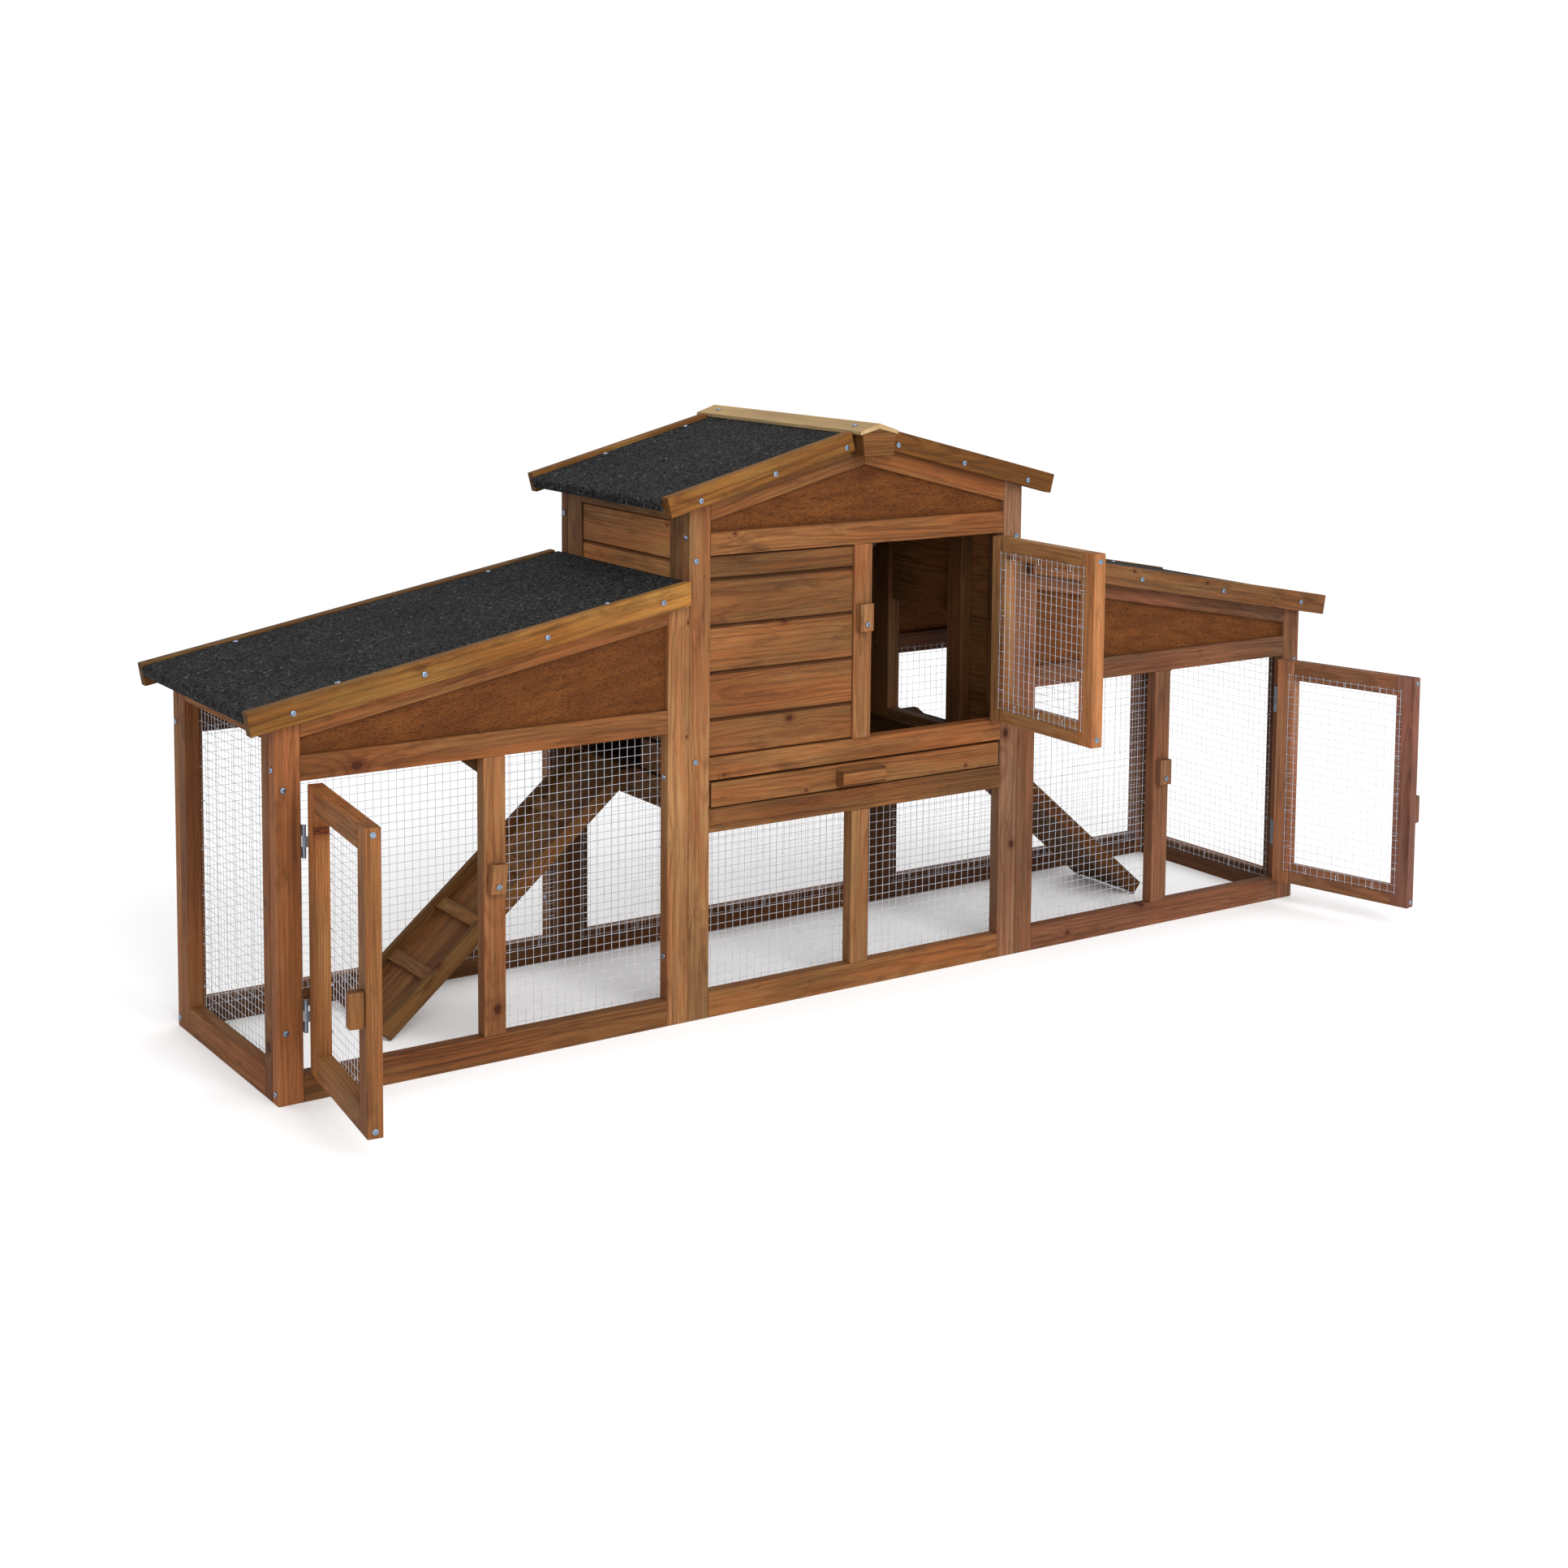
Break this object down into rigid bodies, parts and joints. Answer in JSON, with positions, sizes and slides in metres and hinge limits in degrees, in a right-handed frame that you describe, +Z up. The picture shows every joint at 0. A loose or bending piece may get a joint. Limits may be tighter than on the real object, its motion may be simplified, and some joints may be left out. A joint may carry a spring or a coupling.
{
  "type": "rabbit hutch",
  "caption": "Timber rabbit hutch with a raised central nest box, mesh side runs with ramps and hinged doors, pitched felt roofs, turn buttons and a pull-out litter tray.",
  "frame": {"origin": "on the floor under the middle of the tower's front frame, at the front face of the frames", "axes": "+X along the front towards the right run, +Y from the front to the back, +Z up"},
  "size_m": [1.94, 0.6821, 0.8609],
  "materials": {
    "timber": "stained softwood, satin",
    "light_timber": "lighter stained softwood, satin",
    "dark_timber": "darker stained softwood, matt",
    "plywood": "stained plywood, matt",
    "felt": "mineral-faced bitumen felt",
    "wire": "galvanised welded wire",
    "zinc": "zinc plated"
  },
  "bodies": {
    "frame": {"left_run_posts": "timber", "left_run_rails": "timber", "left_run_wedge_panels": "plywood", "left_run_mesh": "wire", "left_run_roof_board": "timber", "left_run_roof_felt": "felt", "left_ramp_sides": "dark_timber", "left_ramp_planks": "dark_timber", "right_run_posts": "timber", "right_run_rails": "timber", "right_run_wedge_panels": "plywood", "right_run_mesh": "wire", "right_run_roof_board": "timber", "right_run_roof_felt": "felt", "right_ramp_sides": "dark_timber", "right_ramp_planks": "dark_timber", "run_barges": "light_timber", "ramp_cleats": "dark_timber", "frame_hinge_leaves": "zinc", "hinge_pins": "zinc", "pivot_screws": "zinc", "tower_front_posts": "timber", "tower_front_rails": "timber", "tower_back_posts": "timber", "tower_back_rails": "timber", "tower_side_frames": "timber", "front_cladding": "timber", "back_cladding": "timber", "side_cladding": "timber", "gable_panels": "plywood", "tower_mesh": "wire", "tower_roof_boards": "timber", "tower_roof_felts": "felt", "tower_barges": "light_timber", "ridge_cap": "light_timber", "ridge_end_blocks": "dark_timber", "tray_runners": "dark_timber", "corner_gussets": "dark_timber", "screws": "zinc"},
    "left_door": {"left_door_stiles": "timber", "left_door_rails": "timber", "left_door_mesh": "wire", "left_door_handle": "timber", "left_door_hinge_leaves": "zinc"},
    "right_door": {"right_door_stiles": "timber", "right_door_rails": "timber", "right_door_mesh": "wire", "right_door_handle": "timber", "right_door_hinge_leaves": "zinc"},
    "upper_door": {"upper_door_stiles": "timber", "upper_door_rails": "timber", "upper_door_mesh": "wire", "upper_door_hinge_leaves": "zinc"},
    "tray": {"tray_front": "timber", "tray_pan": "dark_timber", "tray_handle": "timber"},
    "left_turn_button": {"left_turn_button": "timber"},
    "right_turn_button": {"right_turn_button": "timber"},
    "upper_turn_button": {"upper_turn_button": "timber"}
  },
  "joints": [
    {"name": "left_door_hinge", "type": "hinge", "parent": "frame", "child": "left_door", "pos_m": [-0.8885, -0.004, 0], "axis": [0, 0, -1], "range_deg": [-97, 78]},
    {"name": "right_door_hinge", "type": "hinge", "parent": "frame", "child": "right_door", "pos_m": [0.8885, -0.004, 0], "axis": [0, 0, 1], "range_deg": [-103.5, 71.5]},
    {"name": "upper_door_hinge", "type": "hinge", "parent": "frame", "child": "upper_door", "pos_m": [0.2665, -0.004, 0], "axis": [0, 0, 1], "range_deg": [-88.5, 65]},
    {"name": "left_turn_button_pivot", "type": "hinge", "parent": "frame", "child": "left_turn_button", "pos_m": [-0.613, 0, 0.249], "axis": [0, 1, 0], "continuous": true},
    {"name": "right_turn_button_pivot", "type": "hinge", "parent": "frame", "child": "right_turn_button", "pos_m": [0.613, 0, 0.249], "axis": [0, 1, 0], "continuous": true},
    {"name": "upper_turn_button_pivot", "type": "hinge", "parent": "frame", "child": "upper_turn_button", "pos_m": [0, 0, 0.558], "axis": [0, 1, 0], "continuous": true},
    {"name": "tray_slide", "type": "slide", "parent": "frame", "child": "tray", "axis": [0, -1, 0], "range_m": [0, 0.3]}
  ]
}
